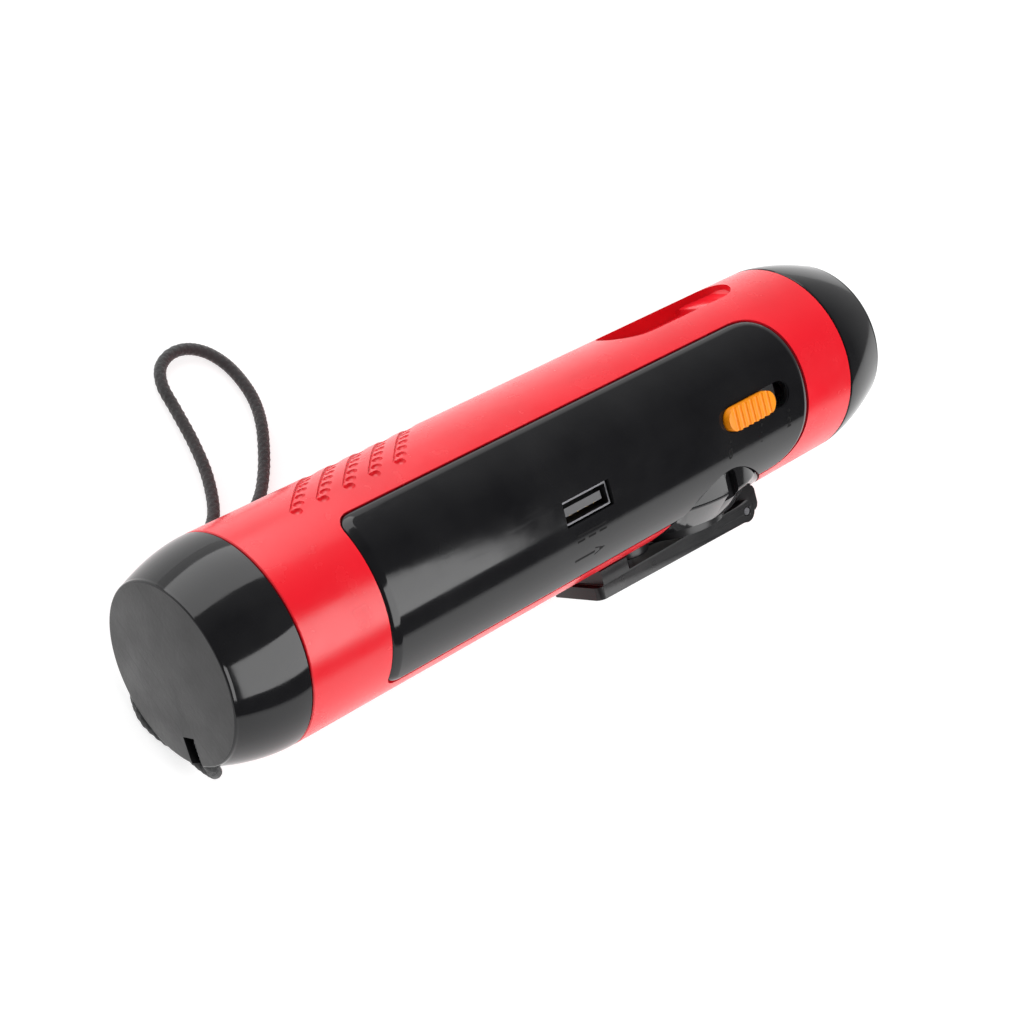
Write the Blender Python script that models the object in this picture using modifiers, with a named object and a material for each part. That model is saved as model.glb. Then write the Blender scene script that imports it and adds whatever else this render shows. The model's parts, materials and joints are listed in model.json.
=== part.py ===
"""Hand-crank emergency torch with a folding crank, a slide switch, a USB port and a wrist cord.

Everything is built in the torch's own frame, in millimetres: x runs along the barrel from the tail face to the
lens, y points away from the side panel and z away from the crank. One empty then turns it to how it lies: on its
barrel and on the edge of the folded crank, with the lowest point at z = 0.
"""

import math

import bmesh
import bpy
from mathutils import Matrix, Vector

MM = 0.001
GAP = 0.3  # between pieces that touch

# barrel
LENGTH = 197.9
R_BODY = 23.0
WALL = 2.4
R_IN = R_BODY - WALL
TAIL_SEAM = 16.0
HEAD_SEAM = 181.2
R_TAIL = 19.5
R_NOSE = 19.1
R_SPIGOT = 20.3
SEGMENTS = 48
FLAT_Z = -21.6
FLAT_X = (97.0, 175.0)

# side panel, on the barrel's -y side
PANEL_X = (36.2, 165.1)
PANEL_HALF = 20.4
PANEL_END = 13.0
PANEL_POWER = 2.9
PANEL_CORNER = 3.5
PANEL_TOP = 0.55
PANEL_EDGE = -0.25
PANEL_FOOT = -1.4
PANEL_RIM = 2.1

# switch and USB port
SLOT_X = (136.0, 158.3)
SLOT_Z = 0.6
SLOT_WIDE = 5.9
KNOB_LONG = 15.8
KNOB_WIDE = 5.4
KNOB_TOP = 25.1
SWITCH_TRAVEL = 6.0
USB_X = (85.0, 99.0)
USB_Z = (-3.7, 2.0)

# grip rows and thumb scoop, on the barrel's +z side
GRIP_X = 31.9
GRIP_PITCH = 6.75
GRIP_ROWS = 5
GRIP_DENTS = 9
GRIP_FROM = 66.0
GRIP_STEP = 5.6
GRIP_SLANT = 0.402
SCOOP_X = (128.3, 169.6)
SCOOP_HALF = 6.8
SCOOP_FLOOR = 18.4

# crank, on the barrel's -z side
HUB_X = 137.0
SEAT_R = 20.7
SEAT_TOP = -9.5
SEAT_RIM = -16.4
SEAT_FLAT = 14.0
SEAT_LOW = -21.85
HUB_R = 11.0
HUB_Z = (-24.4, -22.15)
PIN_X = 152.0
PIN_Z = -27.0
PIN_R = 0.9
EAR_R = 2.6
LUG_HALF = 5.9
ARM_HALF = 8.0
ARM_Z = (-28.2, -24.8)
ARM_TAIL = 101.7
BLOCK_X = (103.6, 112.0)
BLOCK_TOP = -21.95
DISC_X = 119.0
DISC_R = 5.6

# gear train
MODULE = 0.7
WHEEL_TEETH = 36
PINION_TEETH = 12
CENTRES = MODULE * (WHEEL_TEETH + PINION_TEETH) / 2
LAY_X = HUB_X - CENTRES
MOTOR_DX = -15.0
MOTOR_DY = math.sqrt(CENTRES**2 - MOTOR_DX**2)
MOTOR_X = LAY_X + MOTOR_DX
FIRST_Z = (-17.2, -15.2)
SECOND_Z = (-13.6, -11.8)
PLATE_Z = (-11.2, -9.6)

# lanyard
NOTCH_Y = 1.2
NOTCH_WIDE = 3.6
NOTCH_TOP = -13.4
BAR_X = 4.9
CORD_D = 2.8
BEAD_AT = Vector((-72.0, 24.0, 2.6))
BEAD_ALONG = Vector((0.84, 0.5426, 0))
BEAD_SIZE = (7.0, 8.4, 5.2)

# how it lies: turned about x until the far edge of the crank's ears meets the floor
EAR_LOW = EAR_R - PIN_Z
ROLL = math.acos(R_BODY / math.hypot(EAR_LOW, ARM_HALF)) + math.atan2(ARM_HALF, EAR_LOW)
REACH = ARM_HALF * math.cos(ROLL) + EAR_LOW * math.sin(ROLL)
SHIFT_Y = (REACH - R_BODY) / 2

for old in list(bpy.data.objects):
    bpy.data.objects.remove(old)
scene = bpy.context.scene
torch = bpy.data.collections.new("crank_torch")
scene.collection.children.link(torch)
cutters = bpy.data.collections.new("cutters")
cutters.hide_render = True
scene.collection.children.link(cutters)
root = bpy.data.objects.new("torch_frame", None)
root.rotation_euler = (-ROLL, 0, 0)
root.location = (-LENGTH / 2 * MM, SHIFT_Y * MM, R_BODY * MM)
torch.objects.link(root)


def material(name, colour, rough=0.4, metallic=0.0, alpha=1.0):
    made = bpy.data.materials.new(name)
    made.use_nodes = True
    shader = made.node_tree.nodes["Principled BSDF"]
    shader.inputs["Base Color"].default_value = (*colour, 1)
    shader.inputs["Roughness"].default_value = rough
    shader.inputs["Metallic"].default_value = metallic
    shader.inputs["Alpha"].default_value = alpha
    return made


RED = ((0.72, 0.02, 0.03), 0.2)
BLACK = ((0.01, 0.01, 0.012), 0.12)
SATIN = ((0.03, 0.03, 0.033), 0.45)
ORANGE = ((0.95, 0.32, 0.02), 0.35)
STEEL = ((0.6, 0.6, 0.62), 0.3, 1.0)
BRASS = ((0.75, 0.55, 0.2), 0.3, 1.0)
ALU = ((0.8, 0.8, 0.82), 0.3, 1.0)
NYLON = ((0.85, 0.84, 0.78), 0.5)
GREEN = ((0.02, 0.2, 0.08), 0.4)


def put(mesh, name, look, parent=root):
    """The mesh as a piece, or as a cutter if look is None."""
    made = bpy.data.objects.new(name, mesh)
    made.parent = parent
    if look is None:
        cutters.objects.link(made)
        made.hide_render = True
        made.display_type = "WIRE"
    else:
        torch.objects.link(made)
        mesh.materials.append(material(name, *look))
        mesh.shade_smooth()
        mesh.set_sharp_from_angle(angle=math.radians(30))
    return made


def mesh_of(form, name):
    bmesh.ops.recalc_face_normals(form, faces=form.faces)
    made = bpy.data.meshes.new(name)
    form.to_mesh(made)
    form.free()
    return made


def prism(name, outline, low, high, axis="Z", look=None, parent=root):
    """An outline carried along an axis. X takes (y, z) points, Y takes (x, z) and Z takes (x, y)."""
    form = bmesh.new()
    at = {"X": lambda a, b: (low, a, b), "Y": lambda a, b: (a, low, b), "Z": lambda a, b: (a, b, low)}[axis]
    step = {"X": (1, 0, 0), "Y": (0, 1, 0), "Z": (0, 0, 1)}[axis]
    face = form.faces.new([form.verts.new(Vector(at(a, b)) * MM) for a, b in outline])
    side = bmesh.ops.extrude_face_region(form, geom=[face])
    moved = [v for v in side["geom"] if isinstance(v, bmesh.types.BMVert)]
    bmesh.ops.translate(form, verts=moved, vec=Vector(step) * (high - low) * MM)
    return put(mesh_of(form, name), name, look, parent)


def box(name, x, y, z, look=None):
    return prism(name, [(x[0], y[0]), (x[1], y[0]), (x[1], y[1]), (x[0], y[1])], z[0], z[1], "Z", look)


def ring_points(a, b, r, steps, start=0.0):
    turn = 2 * math.pi / steps
    return [(a + r * math.cos(start + turn * k), b + r * math.sin(start + turn * k)) for k in range(steps)]


def rod(name, a, b, r, low, high, axis="Z", look=None, steps=32):
    return prism(name, ring_points(a, b, r, steps), low, high, axis, look)


def rounded(x, y, radius, steps=5):
    """A rectangle's outline with round corners; radius is one number, or one for each corner from (low, low)."""
    radii = radius if isinstance(radius, tuple) else (radius,) * 4
    spots = [(x[0], y[0], 180), (x[1], y[0], 270), (x[1], y[1], 0), (x[0], y[1], 90)]
    points = []
    for (a, b, start), r in zip(spots, radii):
        ca = a + r if a == x[0] else a - r
        cb = b + r if b == y[0] else b - r
        for k in range(steps + 1) if r else [0]:
            angle = math.radians(start + 90 * k / steps)
            points.append((ca + r * math.cos(angle), cb + r * math.sin(angle)) if r else (a, b))
    return points


def turned(name, profile, look=None, axis="X", centre=(0, 0), steps=SEGMENTS, closed=False):
    """A Screw of (radius, height) points. Axis X lies along the barrel, Z along the crank's axis."""
    area = sum(a * d - c * b for (a, b), (c, d) in zip(profile, [*profile[1:], profile[0]]))
    if area > 0:
        profile = profile[::-1]
    mesh = bpy.data.meshes.new(name)
    edges = [(k, k + 1) for k in range(len(profile) - 1)]
    if closed:
        edges.append((len(profile) - 1, 0))
    mesh.from_pydata([(r * MM, 0, h * MM) for r, h in profile], edges, [])
    made = put(mesh, name, look)
    if axis == "X":
        made.rotation_euler = (0, math.pi / 2, 0)
        made.location = (0, centre[0] * MM, centre[1] * MM)
    else:
        made.location = (centre[0] * MM, centre[1] * MM, 0)
    screw = made.modifiers.new("turn", "SCREW")
    screw.axis = "Z"
    screw.steps = steps
    screw.render_steps = steps
    screw.use_merge_vertices = True
    screw.merge_threshold = 0.00001
    return made


def boolean(target, other, how="DIFFERENCE"):
    step = target.modifiers.new(how.lower(), "BOOLEAN")
    step.operation = how
    step.object = other
    step.solver = "EXACT"
    return target


def bevel(target, width, segments=2, angle=40):
    step = target.modifiers.new("bevel", "BEVEL")
    step.width = width * MM
    step.segments = segments
    step.limit_method = "ANGLE"
    step.angle_limit = math.radians(angle)
    return target


def onto_barrel(form):
    """Bends flat stock onto the barrel's -y side: x stays, y becomes the arc towards +z, z the height over it."""
    for v in form.verts:
        arc = v.co.y / (R_BODY * MM)
        r = R_BODY * MM + v.co.z
        v.co = Vector((v.co.x, -r * math.cos(arc), r * math.sin(arc)))


def panel_outline(inset):
    """The side panel's outline as (x, arc) points: small corners at the tail, one broad round end at the head."""
    half = PANEL_HALF - inset
    tail = PANEL_X[0] + inset
    corner = max(PANEL_CORNER - inset, 0.8)
    deep = PANEL_END - inset
    start = PANEL_X[1] - PANEL_END
    points = []
    for k in range(6):
        angle = math.radians(90 + 90 * k / 5)
        points.append((tail + corner + corner * math.cos(angle), half - corner + corner * math.sin(angle)))
    points += [(x, -s) for x, s in reversed(points)]
    for k in range(25):
        angle = math.radians(-90 + 180 * k / 24)
        c, s = max(math.cos(angle), 0.0), math.sin(angle)
        points.append(
            (
                start + deep * c ** (2 / PANEL_POWER),
                math.copysign(half * abs(s) ** (2 / PANEL_POWER), s),
            )
        )
    return points


def bent(name, levels, look=None):
    """A plate bent onto the barrel, from (inset, height) outlines that run from its foot to its top."""
    form = bmesh.new()
    loops = [[form.verts.new(Vector((x, s, h)) * MM) for x, s in panel_outline(i)] for i, h in levels]
    count = len(loops[0])
    for low, high in zip(loops, loops[1:]):
        for k in range(count):
            form.faces.new([low[k], low[(k + 1) % count], high[(k + 1) % count], high[k]])
    form.faces.new(loops[0])
    form.faces.new(loops[-1])
    for k in range(-13, 14):
        cut = form.verts[:] + form.edges[:] + form.faces[:]
        bmesh.ops.bisect_plane(form, geom=cut, dist=1e-7, plane_co=(0, k * 1.55 * MM, 0), plane_no=(0, 1, 0))
    onto_barrel(form)
    bmesh.ops.triangulate(form, faces=form.faces)
    return put(mesh_of(form, name), name, look)


def grip_cutter():
    """Slanted saw-tooth pads: each steps down on its tail side and runs out towards the head."""
    form = bmesh.new()
    section = [(-2.0, 0.8), (-2.0, -0.55), (2.6, 0.06), (2.6, 0.8)]
    for row in range(GRIP_ROWS):
        rings = []
        for k in range(13):
            angle = GRIP_FROM + 1.7 + 45.4 * k / 12
            x = GRIP_X + GRIP_PITCH * row + GRIP_SLANT * (angle - GRIP_FROM)
            c, s = math.cos(math.radians(angle)), math.sin(math.radians(angle))
            rings.append(
                [form.verts.new(Vector((x + dx, -(R_BODY + t) * c, (R_BODY + t) * s)) * MM) for dx, t in section]
            )
        for low, high in zip(rings, rings[1:]):
            for j in range(4):
                form.faces.new([low[j], low[(j + 1) % 4], high[(j + 1) % 4], high[j]])
        form.faces.new(rings[0])
        form.faces.new(rings[-1])
    return put(mesh_of(form, "grip_pads"), "grip_pads", None)


def dent_cutter():
    form = bmesh.new()
    for row in range(GRIP_ROWS):
        for k in range(GRIP_DENTS):
            angle = math.radians(GRIP_FROM + GRIP_STEP * k)
            x = GRIP_X + GRIP_PITCH * row + GRIP_SLANT * GRIP_STEP * k
            out = Vector((0, -math.cos(angle), math.sin(angle)))
            turn = out.to_track_quat("Z", "X").to_matrix().to_4x4()
            place = Matrix.Translation((Vector((x, 0, 0)) + out * (R_BODY - 0.15)) * MM) @ turn
            bmesh.ops.create_cone(
                form, cap_ends=True, segments=6, radius1=0.0, radius2=1.45 * MM, depth=1.3 * MM, matrix=place
            )
    return put(mesh_of(form, "grip_dents"), "grip_dents", None)


def gear(name, x, y, teeth, z, bore, look, phase=0.0):
    pitch = 2 * math.pi / teeth
    mean = MODULE * teeth / 2
    tip, root_r = mean + 0.62, mean - 0.85
    outline = []
    for k in range(teeth):
        centre = phase + pitch * k
        for r, share in ((root_r, -0.32), (tip, -0.12), (tip, 0.12), (root_r, 0.32)):
            outline.append((x + r * math.cos(centre + share * pitch), y + r * math.sin(centre + share * pitch)))
    made = prism(name, outline, z[0], z[1], "Z", look)
    return boolean(made, rod(name + "_bore", x, y, bore, z[0] - 2, z[1] + 2, "Z", None, 24))


def tube(name, points, diameter, look, sides=2):
    """A cord or a wire along points that are already in world metres."""
    curve = bpy.data.curves.new(name, "CURVE")
    curve.dimensions = "3D"
    curve.bevel_depth = diameter / 2 * MM
    curve.bevel_resolution = sides
    curve.use_fill_caps = True
    line = curve.splines.new("POLY")
    line.points.add(len(points) - 1)
    for spot, p in zip(line.points, points):
        spot.co = (*p, 1)
    made = bpy.data.objects.new(name, curve)
    torch.objects.link(made)
    curve.materials.append(material(name, *look))
    return made


def smooth(knots, count):
    """Points at even spacing along a Catmull-Rom curve through the knots, which are world millimetres."""
    pts = [Vector(k) for k in knots]
    pts = [2 * pts[0] - pts[1], *pts, 2 * pts[-1] - pts[-2]]
    fine = []
    for a, b, c, d in zip(pts, pts[1:], pts[2:], pts[3:]):
        for k in range(24):
            t = k / 24
            fine.append(
                0.5
                * (2 * b + (c - a) * t + (2 * a - 5 * b + 4 * c - d) * t**2 + (3 * b - a - 3 * c + d) * t**3)
            )
    fine.append(pts[-2])
    along = [0.0]
    for a, b in zip(fine, fine[1:]):
        along.append(along[-1] + (b - a).length)
    out, k = [], 0
    for n in range(count):
        want = along[-1] * n / (count - 1)
        while k < len(along) - 2 and along[k + 1] < want:
            k += 1
        share = (want - along[k]) / max(along[k + 1] - along[k], 1e-9)
        out.append(tuple(fine[k].lerp(fine[k + 1], share) * MM))
    return out


def cap_radius(share):
    """The tail cap's radius, from 0 at the barrel to 1 at the tail face."""
    return R_TAIL + (R_BODY - R_TAIL) * (1 - share**1.83)


def nose_radius(share):
    """The head cap's radius, from 0 at the barrel to 1 at the lens."""
    return R_NOSE + (R_BODY - R_NOSE) * (1 - share**1.5)


# barrel -------------------------------------------------------------------------------------------------------
shell = turned(
    "shell",
    [(R_BODY, HEAD_SEAM), (R_BODY, TAIL_SEAM), (R_IN, TAIL_SEAM), (R_IN, HEAD_SEAM)],
    RED,
    closed=True,
)
tub = box("scoop_tub", (125.5, 171.4), (-9.6, 9.6), (16.4, 26.0))
boolean(tub, rod("scoop_tub_round", 0, 0, 22.2, 100, 190, "X", None, 48), "INTERSECT")
boolean(shell, tub, "UNION")
boolean(shell, bent("panel_seat", [(-GAP, -1.7), (-GAP, 3.0)]))
boolean(shell, rod("seat_hole", HUB_X, 0, SEAT_R + GAP, -40, SEAT_TOP + 0.3, "Z", None, 48))
boolean(shell, box("under_flat", FLAT_X, (-15, 15), (-30, FLAT_Z)))
boolean(shell, box("switch_hole", (130.5, 163.0), (-26, -10), (SLOT_Z - 4.1, SLOT_Z + 4.1)))
boolean(shell, box("usb_hole", (USB_X[0] - 0.4, USB_X[1] + 0.4), (-26, -10), (USB_Z[0] - 0.6, USB_Z[1] + 0.6)))
boolean(shell, grip_cutter())
boolean(shell, dent_cutter())
scoop = prism(
    "scoop",
    [
        (SCOOP_X[0], 23.1),
        (136.0, 20.6),
        (143.0, 19.1),
        (150.0, SCOOP_FLOOR),
        (160.4, SCOOP_FLOOR),
        (161.2, 20.0),
        (166.5, 20.4),
        (SCOOP_X[1], 21.6),
        (SCOOP_X[1], 30.0),
        (SCOOP_X[0], 30.0),
    ],
    -12,
    12,
    "Y",
)
plan = [(SCOOP_X[0], 0.0), (129.4, -2.6), (131.2, -4.8), (134.0, -6.2), (138.0, -SCOOP_HALF)]
plan += [
    (SCOOP_X[1] - SCOOP_HALF + SCOOP_HALF * math.cos(a), SCOOP_HALF * math.sin(a))
    for a in (math.radians(d) for d in range(-90, 91, 15))
]
plan += [(x, -y) for x, y in reversed(plan[1:5])]
boolean(scoop, prism("scoop_plan", plan, 10, 32, "Z"), "INTERSECT")
boolean(shell, scoop)

# tail cap and its lanyard bar ----------------------------------------------------------------------------------
outer = [(cap_radius(k / 5), TAIL_SEAM - GAP - (TAIL_SEAM - GAP - 0.5) * k / 5) for k in range(6)]
tail_cap = turned(
    "tail_cap",
    [(0, 22.0), (R_SPIGOT, 22.0), (R_SPIGOT, TAIL_SEAM - GAP), *outer, (R_TAIL - 0.4, 0), (0, 0)],
    BLACK,
)
boolean(tail_cap, turned("tail_hollow", [(0, 30.0), (18.0, 30.0), (18.0, 9.4), (12.4, 7.2), (12.4, 2.6), (0, 2.6)]))
notch_y = (NOTCH_Y - NOTCH_WIDE / 2, NOTCH_Y + NOTCH_WIDE / 2)
boolean(tail_cap, box("notch", (-2, 6.3), notch_y, (-26, NOTCH_TOP)))
boolean(tail_cap, rod("bar_hole", BAR_X, -16.6, 1.1, NOTCH_Y - 4.4, NOTCH_Y + 4.4, "Y", None, 16))
rod("lanyard_bar", BAR_X, -16.6, 0.8, NOTCH_Y - 4.1, NOTCH_Y + 4.1, "Y", STEEL, 16)

# head cap and light --------------------------------------------------------------------------------------------
nose = [(nose_radius(k / 6), HEAD_SEAM + GAP + (LENGTH - 1.1 - HEAD_SEAM - GAP) * k / 6) for k in range(7)]
head = [(16.4, LENGTH), (17.8, LENGTH), (18.7, LENGTH - 0.4), *reversed(nose)]
head += [(R_SPIGOT, HEAD_SEAM + GAP), (R_SPIGOT, 175.0), (17.7, 175.0), (17.7, 195.9), (16.4, 195.9)]
turned("head_bezel", head, BLACK, closed=True)
turned("lens", [(0, 195.6), (17.2, 195.6), (17.2, 193.7), (0, 193.7)], ((0.95, 0.97, 1.0), 0.03), steps=64)
seal = [(16.55 + 0.75 * math.cos(a), 192.6 + 0.75 * math.sin(a)) for a in (math.radians(90 - 60 * k) for k in range(6))]
turned("lens_seal", seal, ((0.02, 0.02, 0.02), 0.6), steps=40, closed=True)
bowl = [(math.sqrt(15.8 * d), 174.2 + d) for d in (17.3, 13.5, 10.0, 6.5, 4.0, 2.0, 0.95)]
back = [(r + 0.75, h) for r, h in reversed(bowl[1:])]
rim = [*bowl, *back, (17.05, 190.6), (17.4, 190.6), (17.4, 191.5)]
turned("reflector", rim, ((0.9, 0.9, 0.92), 0.08, 1.0), steps=40, closed=True)
rod("heat_sink", 0, 0, 15.0, 169.0, 171.6, "X", ALU, 48)
rod("led_board", 0, 0, 9.0, 171.9, 173.4, "X", ((0.85, 0.85, 0.85), 0.5), 48)
turned(
    "led_emitter",
    [(0, 176.9), (1.0, 176.7), (1.8, 176.1), (2.1, 175.2), (2.1, 174.9), (2.9, 174.9), (2.9, 173.7), (0, 173.7)],
    ((0.95, 0.9, 0.35), 0.2),
    steps=24,
)

# side panel, switch and port -----------------------------------------------------------------------------------
panel = bent("side_panel", [(0, PANEL_FOOT), (0, PANEL_EDGE), (PANEL_RIM, PANEL_TOP)], BLACK)
slot_y = (SLOT_Z - SLOT_WIDE / 2, SLOT_Z + SLOT_WIDE / 2)
boolean(panel, prism("slot", rounded(SLOT_X, slot_y, SLOT_WIDE / 2 - 0.01, 8), -27, -15, "Y"))
boolean(panel, box("usb_mouth", USB_X, (-27, -15), USB_Z))
boolean(panel, rod("seat_notch", HUB_X, 0, SEAT_R + GAP, -40, SEAT_TOP + 0.3, "Z", None, 48))

knob_x = (SLOT_X[0] + 0.25, SLOT_X[0] + 0.25 + KNOB_LONG)
knob_z = (SLOT_Z - KNOB_WIDE / 2, SLOT_Z + KNOB_WIDE / 2)
knob = prism("switch_knob", rounded(knob_x, knob_z, KNOB_WIDE / 2 - 0.01, 8), -KNOB_TOP, -20.6, "Y", ORANGE)
middle = sum(knob_x) / 2
base = box("knob_base", (middle - 12.5, middle + 12.5), (-20.95, -20.35), (SLOT_Z - 3.5, SLOT_Z + 3.5))
boolean(knob, base, "UNION")
for k in range(6):
    rib = knob_x[0] + 3.1 + 1.9 * k
    ridge = [(rib, -KNOB_TOP + 0.5), (rib - 0.5, -KNOB_TOP - 0.4), (rib + 0.5, -KNOB_TOP - 0.4)]
    boolean(knob, prism(f"knob_groove_{k}", ridge, -6, 6, "Z"))
box("switch_body", (138.5, 156.5), (-20.05, -16.1), (SLOT_Z - 3.4, SLOT_Z + 3.4), ((0.5, 0.5, 0.52), 0.3, 1.0))

usb_mid = sum(USB_Z) / 2
usb = box("usb_shell", (85.3, 98.7), (-22.6, -9.8), (usb_mid - 2.55, usb_mid + 2.55), STEEL)
boolean(usb, box("usb_hollow", (85.7, 98.3), (-24, -8), (usb_mid - 2.15, usb_mid + 2.15)))
tongue = box("usb_tongue", (86.5, 97.5), (-21.6, -13.0), (usb_mid - 1.0, usb_mid + 0.8), ((0.9, 0.9, 0.9), 0.4))
boolean(tongue, box("usb_back", (86.0, 98.0), (-13.6, -10.0), (usb_mid - 1.85, usb_mid + 1.85)), "UNION")
box("usb_board", (84.6, 99.4), (-9.4, -8.0), (-8, 8), GREEN)
box("circuit_board", (101.0, 160.0), (-15.8, -14.2), (-7.5, 9.5), GREEN)

# battery -------------------------------------------------------------------------------------------------------
cell = [(0, 85.6), (3.0, 85.6), (3.0, 84.6), (8.8, 84.6), (9.2, 84.2), (9.2, 20.9), (8.8, 20.5), (0, 20.5)]
turned("battery", cell, ((0.05, 0.25, 0.6), 0.3), centre=(1.5, -1.5), steps=40)
box("battery_contact", (85.9, 86.6), (-4.5, 7.5), (-7.5, 4.5), BRASS)
rod("spring_plate", 1.5, -1.5, 8.0, 8.6, 9.4, "X", BRASS, 32)
turns = [(10.3 + 9.5 * k / 44, 2 * math.pi * k / 10) for k in range(45)]
spots = [(x, 1.5 + 5 * math.cos(a), -1.5 + 5 * math.sin(a)) for x, a in turns]
spring = tube("battery_spring", [Vector(p) * MM for p in spots], 0.8, STEEL, 1)
spring.parent = root

# crank seat ----------------------------------------------------------------------------------------------------
turn = [math.radians(d) for d in range(-66, 67, 6)]
saddle = [(R_BODY * math.sin(t), max(-R_BODY * math.cos(t), FLAT_Z)) for t in turn]
saddle += [((R_IN + 0.5) * math.sin(t), -(R_IN + 0.5) * math.cos(t)) for t in reversed(turn)]
seat = prism("crank_seat", saddle, 115.0, 159.0, "X", BLACK)
boolean(seat, rod("seat_disc", HUB_X, 0, SEAT_R - 0.3, -60, SEAT_TOP - 0.1, "Z", None, 48), "INTERSECT")
skirt = [(0, SEAT_TOP), (SEAT_R, SEAT_TOP), (SEAT_R - 0.25, SEAT_RIM + 0.5), (SEAT_R - 0.7, SEAT_RIM)]
skirt += [(SEAT_FLAT, SEAT_LOW), (0, SEAT_LOW)]
skirt = turned("seat_skirt", skirt, axis="Z", centre=(HUB_X, 0), steps=48)
boolean(skirt, rod("seat_inside", 0, 0, R_IN, 100, 180, "X", None, 60))
boolean(seat, skirt, "UNION")
down = Vector((math.sin(ROLL), -math.cos(ROLL)))
along = Vector((down.y, -down.x)) * 40
foot = [tuple(p) for p in (down * 22.7 + along, down * 22.7 - along, down * 60 - along, down * 60 + along)]
boolean(seat, prism("seat_foot", foot, 100, 180, "X"))
boolean(seat, rod("gear_well", HUB_X, 0, 14.2, -18.4, 5, "Z", None, 48))
boolean(seat, rod("shaft_bore", HUB_X, 0, 3.2, -30, 0, "Z", None, 28))
side_slot = rounded((HUB_X - 1.7, HUB_X + 1.7), (-24.0, -10.6), (0, 0, 1.69, 1.69), 6)
boolean(seat, prism("side_slot", side_slot, -26, -18.4, "Y"))

# hub, arm and finger disc --------------------------------------------------------------------------------------
hub = rod("crank_hub", HUB_X, 0, HUB_R, HUB_Z[0], HUB_Z[1], "Z", BLACK, 40)
lug = [(140.0, HUB_Z[1] - 0.02), (156.6, HUB_Z[1] - 0.02), (158.2, -23.4), (158.2, -27.4), (157.0, -28.6)]
lug += [(152.6, -28.8), (149.6, -28.0), (147.6, -25.6), (146.0, HUB_Z[0] + 0.02), (140.0, HUB_Z[0] + 0.02)]
boolean(hub, prism("lug", lug, -LUG_HALF, LUG_HALF, "Y"), "UNION")
boolean(hub, rod("lug_bore", PIN_X, PIN_Z, PIN_R + 0.2, -20, 20, "Y", None, 20))
boolean(hub, rod("hub_bore", HUB_X, 0, 3.2, -23.6, -15, "Z", None, 32))
bevel(hub, 0.3, 1, 50)

low, high = ARM_Z
side = [(ARM_TAIL, low), (PIN_X - 1.6, PIN_Z - EAR_R + 0.35)]
side += [
    (PIN_X + EAR_R * math.cos(a), PIN_Z + EAR_R * math.sin(a))
    for a in (math.radians(d) for d in range(-105, 106, 30))
]
side += [(PIN_X - 3.4, high), (BLOCK_X[1], high), (BLOCK_X[1], BLOCK_TOP), (BLOCK_X[0], BLOCK_TOP)]
side += [(BLOCK_X[0], high - 0.2), (ARM_TAIL, high - 0.4)]
arm = prism("crank_arm", side, -ARM_HALF, ARM_HALF, "Y", BLACK)
arm_plan = rounded((ARM_TAIL - 0.1, 160.0), (-ARM_HALF - 0.1, ARM_HALF + 0.1), (2.2, 0, 0, 2.2), 5)
boolean(arm, prism("arm_plan", arm_plan, -34, high - 0.5, "Z"), "INTERSECT")
top_part = prism("arm_top", side, -ARM_HALF, ARM_HALF, "Y")
boolean(top_part, box("arm_top_part", (ARM_TAIL + 1.6, 170.0), (-20, 20), (high - 0.9, 0)), "INTERSECT")
boolean(arm, top_part, "UNION")
boolean(arm, box("lug_gap", (144.2, 170.0), (-LUG_HALF - GAP, LUG_HALF + GAP), (-40, 0)))
boolean(arm, rod("arm_pin_bore", PIN_X, PIN_Z, PIN_R + 0.2, -20, 20, "Y", None, 20))
boolean(arm, rod("disc_pin_bore", DISC_X, 0, 1.5, -40, -20, "Z", None, 24))
rod("hinge_pin", PIN_X, PIN_Z, PIN_R, -ARM_HALF + 0.05, ARM_HALF - 0.05, "Y", STEEL, 20)

dish = [(0, -22.2), (DISC_R - 0.5, -22.2), (DISC_R, -22.6), (DISC_R, -24.45), (0, -24.45)]
disc = turned("crank_knob", dish, BLACK, axis="Z", centre=(DISC_X, 0), steps=48)
boolean(disc, turned("dish", [(0, -20), (4.4, -20), (4.4, -22.4), (3.4, -23.4), (0, -23.4)], axis="Z",
                     centre=(DISC_X, 0), steps=48))
boolean(disc, rod("dish_bore", DISC_X, 0, 1.5, -30, -20, "Z", None, 24))
rivet = [(0, -22.6), (2.0, -22.6), (2.4, -22.8), (2.4, -23.1), (1.2, -23.1), (1.2, -27.9), (0, -27.9)]
turned("knob_pin", rivet, STEEL, axis="Z", centre=(DISC_X, 0), steps=24)

# gear train ----------------------------------------------------------------------------------------------------
rod("hub_shaft", HUB_X, 0, 2.9, -23.3, -9.0, "Z", STEEL, 32)
gear("crank_gear", HUB_X, 0, WHEEL_TEETH, FIRST_Z, 3.2, NYLON)
half_tooth = math.pi / PINION_TEETH
gear("lay_pinion", LAY_X, 0, PINION_TEETH, FIRST_Z, 1.8, BRASS, half_tooth)
towards = math.atan2(MOTOR_DY, MOTOR_DX)
gear("lay_gear", LAY_X, 0, WHEEL_TEETH, SECOND_Z, 1.8, NYLON, towards)
rod("lay_shaft", LAY_X, 0, 1.5, -18.0, -9.2, "Z", STEEL, 24)
gear("motor_pinion", MOTOR_X, MOTOR_DY, PINION_TEETH, SECOND_Z, 1.3, BRASS, towards + math.pi + half_tooth)
rod("motor_shaft", MOTOR_X, MOTOR_DY, 1.0, -14.2, -6.8, "Z", STEEL, 20)
can = rod("motor_can", MOTOR_X, MOTOR_DY, 9.0, -9.2, 4.0, "Z", ALU, 40)
boolean(can, rod("can_bore", MOTOR_X, MOTOR_DY, 1.3, -20, -6.4, "Z", None, 20))
plate = prism("gear_plate", rounded((96.5, 149.0), (-12.4, 15.6), 4.0, 4), *PLATE_Z, "Z", SATIN)
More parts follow.
